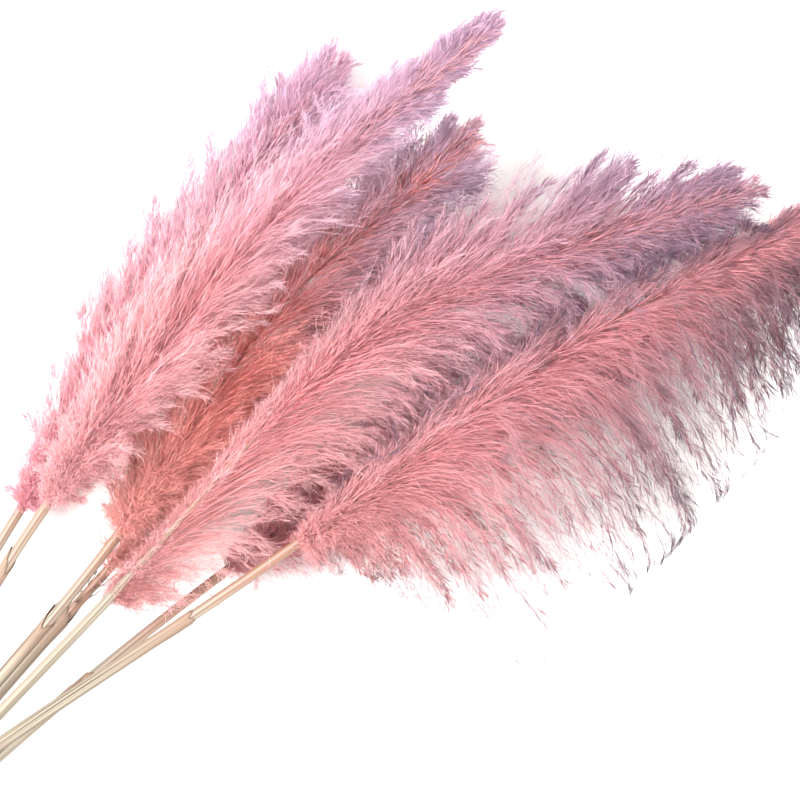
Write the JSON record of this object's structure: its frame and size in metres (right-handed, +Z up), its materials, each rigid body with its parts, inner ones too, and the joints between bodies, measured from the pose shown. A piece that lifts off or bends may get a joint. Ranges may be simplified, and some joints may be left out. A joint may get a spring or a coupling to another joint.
{
  "type": "pampas grass bundle",
  "caption": "Loose bunch of dyed, dried pampas grass lying flat: pale canes in papery leaf sheaths that fan out into feathery pink plumes.",
  "frame": {"origin": "on the surface that the bunch lies on, under the middle of its bounding box", "axes": "+X along the bunch from the cut ends of the canes to the tips of the plumes, +Y across the bunch to the left of that, +Z up from the surface"},
  "size_m": [1.1504, 0.4856, 0.1677],
  "materials": {
    "cane": "smooth dry cane with a faint gloss",
    "leaf_sheath": "matt dry papery leaf",
    "plume": "soft silky dyed hair"
  },
  "bodies": {
    "root": {"stem_1": "cane", "sheath_1": "leaf_sheath", "plume_1": "plume", "stem_2": "cane", "sheath_2": "leaf_sheath", "plume_2": "plume", "stem_3": "cane", "sheath_3": "leaf_sheath", "plume_3": "plume", "stem_4": "cane", "sheath_4": "leaf_sheath", "plume_4": "plume", "stem_5": "cane", "sheath_5": "leaf_sheath", "plume_5": "plume", "stem_6": "cane", "sheath_6": "leaf_sheath", "plume_6": "plume", "stem_7": "cane", "sheath_7": "leaf_sheath", "plume_7": "plume"}
  },
  "joints": []
}
